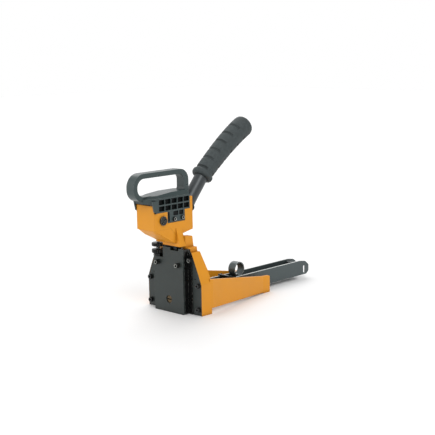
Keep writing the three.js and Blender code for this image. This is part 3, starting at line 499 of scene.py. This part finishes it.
# The pockets' floors get painted shade, near black.
paint_where(handle, POCKET_SHADE,
            lambda c, n: POCKET_DEEPEST < abs(c.x) < POCKET_SHALLOWEST and n.x * math.copysign(1, c.x) > 0.9)

for node in ("front_plate", "wing_cover_left", "wing_cover_right"):
    refined(node, GREY_STEEL, edge=0.35 * MM)
for node in ("side_rail_left", "side_rail_right"):
    refined(node, GUIDE_STEEL, edge=0.45 * MM)
for node in ("stud_bracket", "lever_plate_left", "lever_plate_right", "lever_rivet", "ram_block",
             "pusher_block"):
    refined(node, BLACK_STEEL, edge=0.3 * MM)
refined("pivot_pin", DARK_STEEL, edge=0.4 * MM)
for node in ("pivot_retaining_ring", "end_stop_screw", "magazine_screw_front",
             "magazine_screw_rear", "ring_rivet", "clincher_left", "clincher_right"):
    refined(node, BRIGHT_STEEL, edge=0.15 * MM)
for node in ("driver_blade", "rail_end_stop"):
    refined(node, TUBE_STEEL, edge=0.2 * MM)
rail = refined("staple_rail", RAIL_STEEL, [
    (0.7 * MM, 2, lambda e: both(e, lambda p: near(p.z, RAIL_TOP, 0.05 * MM))),
], edge=0.3 * MM)
# The rail's top faces are painted near white: rubbed metal, and a painted highlight.
paint_where(rail, RAIL_EDGE_HIGHLIGHT, lambda c, n: c.z > RAIL_TOP - RAIL_HIGHLIGHT_HEIGHT and n.z > 0.2)
refined("finger_ring", RAIL_STEEL, edge=0.3 * MM)
refined("window_plug", BRASS, edge=0.2 * MM)

# ---------------------------------------------------------------- lever tube and grip

# Y and Z of the lever tube's centreline, in millimetres, as in the CAD.
TUBE_LINE = [(-86.4, 154.8), (-73.9, 171.4), (-61.6, 186), (-50.4, 199.4), (-39.4, 210.3), (-25.6, 221.9),
             (2.2, 243.7), (34.5, 265.2), (57.6, 277.6)]


def catmull_rom(points, steps=40):
    """A centripetal Catmull-Rom curve through the points, as a dense list of points."""
    ends = [2 * points[0] - points[1], *points, 2 * points[-1] - points[-2]]
    dense = []
    for p0, p1, p2, p3 in zip(ends, ends[1:], ends[2:], ends[3:]):
        d0, d1, d2 = [math.sqrt((b - a).length) for a, b in ((p0, p1), (p1, p2), (p2, p3))]
        t1 = ((p1 - p0) / d0 - (p2 - p0) / (d0 + d1) + (p2 - p1) / d1) * d1
        t2 = ((p2 - p1) / d1 - (p3 - p1) / (d1 + d2) + (p3 - p2) / d2) * d1
        for k in range(steps):
            t = k / steps
            dense.append(p1 + t * t1 + t * t * (3 * (p2 - p1) - 2 * t1 - t2)
                         + t ** 3 * (2 * (p1 - p2) + t1 + t2))
    return [*dense, points[-1]]


class Line:
    """A line in the plane X = 0 that is read by the distance along it."""

    def __init__(self, points):
        self.points = catmull_rom([Vector((0, y * MM, z * MM)) for y, z in points])
        self.distances = [0.0]
        for a, b in zip(self.points, self.points[1:]):
            self.distances.append(self.distances[-1] + (b - a).length)

    def at(self, distance):
        """The point there and the direction of the line."""
        last = len(self.points) - 2
        i = next((k for k in range(last) if self.distances[k + 1] > distance), last)
        a, b = self.points[i], self.points[i + 1]
        share = (distance - self.distances[i]) / (self.distances[i + 1] - self.distances[i])
        return a + (b - a) * share, (b - a).normalized()


def swept(bm, line, sections, segments, loop=False):
    """A skin round a line. sections is a list of (distance, radius or function of the angle)."""
    rings = []
    across = Vector((1, 0, 0))
    for distance, radius in sections:
        centre, direction = line.at(distance)
        up = across.cross(direction)
        ring = []
        for k in range(segments if radius else 1):
            angle = 2 * math.pi * k / segments
            size = radius(angle) if callable(radius) else radius
            ring.append(bm.verts.new(centre + across * size * math.cos(angle) + up * size * math.sin(angle)))
        rings.append(ring)
    skin(bm, rings, loop)


# Distances along the line, and the tube's outer and inner radius.
GRIP_START, GRIP_END, TUBE_END = 57.5 * MM, 185.5 * MM, 179.5 * MM
TUBE_RADIUS, TUBE_BORE = 10.65 * MM, 8.65 * MM
lever_line = Line(TUBE_LINE)


def lever_tube(steps=60, lip=0.4 * MM):
    """The bent tube, open at both ends, with a small lip at each."""
    stations = [TUBE_END * k / steps for k in range(steps + 1)]
    outer = [(s, TUBE_RADIUS - (lip if k in (0, steps) else 0)) for k, s in enumerate(stations)]
    inner = [(s, TUBE_BORE) for s in reversed(stations)]
    outer.insert(1, (lip, TUBE_RADIUS))
    bm = bmesh.new()
    swept(bm, lever_line, outer + inner, 64, loop=True)
    return piece("lever_tube_swept", bm, TUBE_STEEL, "lever_tube")


# The grip's outline, as (distance from its collar's end, radius) in millimetres.
COLLAR = [(0, 13.4), (0.6, 14.8), (1.6, 16.1), (3, 16.9), (5.2, 17), (6.8, 16.8), (8, 16.1), (9, 15.2),
          (9.8, 14.6), (11, 14.5), (12.6, 14.6), (14, 15)]
SWELL = [(28, 15.3), (56, 15.9), (85, 16.6), (111, 17.1), (119, 17.15)]
ROUND_END = [(122, 16.9), (124.4, 16.2), (126.2, 15), (127.3, 13.2), (127.8, 11), (128, 8)]
GRIP_OUTLINE = COLLAR + SWELL + ROUND_END
# Pairs of grooves at six places, one over the top and one underneath: (middle angle, reach) in degrees.
GROOVE_PLACES = [11.5 + 18 * k for k in range(6)]
GROOVE_ARCS = [(92, 62), (-95, 78)]
GROOVE_RUN_OUT = 10
GROOVE_HALF_WIDTH = 2.1
GROOVE_DEPTH = 1.7


def outline_radius(distance):
    for (s0, r0), (s1, r1) in zip(GRIP_OUTLINE, GRIP_OUTLINE[1:]):
        if distance <= s1:
            return r0 + (r1 - r0) * (distance - s0) / (s1 - s0)
    return GRIP_OUTLINE[-1][1]


def groove_share(angle):
    """How much of the full groove is cut at an angle: it runs out at both ends of each arc."""
    degrees = math.degrees(angle)
    from_middle = [(abs((degrees - middle + 180) % 360 - 180), reach) for middle, reach in GROOVE_ARCS]
    return max(min(1.0, max(0.0, (reach - away) / GROOVE_RUN_OUT)) for away, reach in from_middle)


def grip_section(distance):
    """The grip's radius round the line at a distance, with the finger grooves pressed in."""
    base = outline_radius(distance)
    nearest = min(abs(distance - place) for place in GROOVE_PLACES)
    depth = GROOVE_DEPTH * math.sqrt(max(0.0, 1 - (nearest / GROOVE_HALF_WIDTH) ** 2))
    return lambda angle: (base - depth * groove_share(angle)) * MM


def grip(step=0.55, bore_steps=30, gap=0.3 * MM):
    """The grip, with a blind bore that clears the tube by the gap. step is the outline's, in millimetres."""
    last_fine = ROUND_END[-3][0]
    fine = [step * k for k in range(int(last_fine / step) + 1)]
    places = sorted({*fine, *(distance for distance, radius in GRIP_OUTLINE)})
    outer = [(GRIP_START + s * MM, grip_section(s)) for s in places] + [(GRIP_END, 0)]
    bore = TUBE_RADIUS + gap
    depth = TUBE_END + gap
    inner = [(depth - (depth - GRIP_START) * k / bore_steps, bore) for k in range(bore_steps + 1)]
    bm = bmesh.new()
    swept(bm, lever_line, [(depth, 0), *inner, *outer], 72)
    return piece("grip_moulded", bm, RUBBER, "grip")


lever_tube()
grip()

# ---------------------------------------------------------------- springs

ROLL_WIDTH = 12 * MM


def pusher_spring():
    """The tape spring, baked in place; the pusher and the roll's corner are passed as its stretch."""
    low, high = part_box("pusher_spring")
    roll = Vector((low.x, high.y - ROLL_WIDTH, low.z))
    return refined("pusher_spring", BRIGHT_STEEL, edge=0, stretch=("pusher", low, roll))


def return_spring(turns=5, wire=0.6 * MM, sides=12, steps=28):
    """A close coil between its two pins, baked in place; the lever and its top corner are passed as its
    stretch.
    """
    low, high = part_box("return_spring")
    centre = (low + high) / 2
    coil = (high.x - low.x) / 2 - wire
    first, last = low.z + wire, high.z - wire
    rings = []
    bm = bmesh.new()
    for k in range(turns * steps + 1):
        angle = 2 * math.pi * k / steps
        height = first + (last - first) * k / (turns * steps)
        out = Vector((math.cos(angle), math.sin(angle), 0))
        middle = Vector((centre.x, centre.y, height)) + out * coil
        rings.append([bm.verts.new(middle + out * wire * math.cos(2 * math.pi * s / sides)
                                   + Vector((0, 0, wire * math.sin(2 * math.pi * s / sides))))
                      for s in range(sides)])
    rings = [[bm.verts.new(sum((v.co for v in rings[0]), Vector()) / sides)], *rings,
             [bm.verts.new(sum((v.co for v in rings[-1]), Vector()) / sides)]]
    skin(bm, rings)
    top = Vector((low.x, low.y, high.z))
    return piece("return_spring_coil", bm, BRIGHT_STEEL, "return_spring", ("lever", low, top))


pusher_spring()
return_spring()

# ---------------------------------------------------------------- studio and camera

# Fitted to the photo, seen from 44 degrees right of the nose and 10 degrees up.
CAMERA_PLACE = Vector((1.1064, -1.1639, 0.4007))
CAMERA_TARGET = Vector((0.008974, -0.024264, 0.133752))
CAMERA_ROLL = math.radians(-0.998)
CAMERA_LENS = 84.595


def camera():
    data = bpy.data.cameras.new("camera")
    data.lens = CAMERA_LENS
    data.sensor_width = 36
    thing = bpy.data.objects.new("camera", data)
    bpy.context.scene.collection.objects.link(thing)
    look = (CAMERA_TARGET - CAMERA_PLACE).to_track_quat("-Z", "Y").to_matrix().to_4x4()
    thing.matrix_world = Matrix.Translation(CAMERA_PLACE) @ look @ Matrix.Rotation(CAMERA_ROLL, 4, "Z")
    bpy.context.scene.camera = thing


def sun(name, direction, spread, strength):
    """Parallel light from a direction, with soft shadows as from a wide panel far away."""
    data = bpy.data.lights.new(name, "SUN")
    data.angle = math.radians(spread)
    data.energy = strength
    thing = bpy.data.objects.new(name, data)
    bpy.context.scene.collection.objects.link(thing)
    thing.matrix_world = (-Vector(direction)).to_track_quat("-Z", "Y").to_matrix().to_4x4()


# The world's light from -X and from +X, and how bright the camera sees it.
WORLD_LEFT, WORLD_RIGHT, WORLD_SEEN = 1.0, 0.45, 1.0


def studio_world():
    """White behind the object, with light that is stronger from the left than from the right."""
    world = bpy.data.worlds.new("studio")
    world.use_nodes = True
    tree = world.node_tree
    background = tree.nodes["Background"]
    direction = tree.nodes.new("ShaderNodeTexCoord")
    split = tree.nodes.new("ShaderNodeSeparateXYZ")
    fall = tree.nodes.new("ShaderNodeMapRange")
    fall.inputs["From Min"].default_value = -1
    fall.inputs["To Min"].default_value = WORLD_LEFT
    fall.inputs["To Max"].default_value = WORLD_RIGHT
    path = tree.nodes.new("ShaderNodeLightPath")
    strength = tree.nodes.new("ShaderNodeMix")
    strength.inputs[3].default_value = WORLD_SEEN
    tree.links.new(direction.outputs["Generated"], split.inputs["Vector"])
    tree.links.new(split.outputs["X"], fall.inputs["Value"])
    tree.links.new(path.outputs["Is Camera Ray"], strength.inputs[0])
    tree.links.new(fall.outputs["Result"], strength.inputs[2])
    tree.links.new(strength.outputs[0], background.inputs["Strength"])
    background.inputs["Color"].default_value = (1, 1, 1, 1)
    bpy.context.scene.world = world


def pale_floor(half=6.0):
    bm = bmesh.new()
    corners = [bm.verts.new((x * half, y * half, 0)) for x, y in ((-1, -1), (1, -1), (1, 1), (-1, 1))]
    bm.faces.new(corners)
    mesh = bpy.data.meshes.new("floor")
    bm.to_mesh(mesh)
    bm.free()
    floor = bpy.data.objects.new("floor", mesh)
    bpy.context.scene.collection.objects.link(floor)
    mesh.materials.append(finish("pale_floor", (0.9, 0.9, 0.9, 1), 0.7, mottle=0.01, mottle_size=0.4))


camera()
bpy.context.scene.view_settings.view_transform = "Standard"
studio_world()
sun("key", (0.9, -0.45, 0.9), 32, 1.1)
sun("back", (-0.6, 0.6, 1.0), 45, 0.9)
sun("left", (-0.6, -0.8, 0.35), 50, 0.25)
pale_floor()
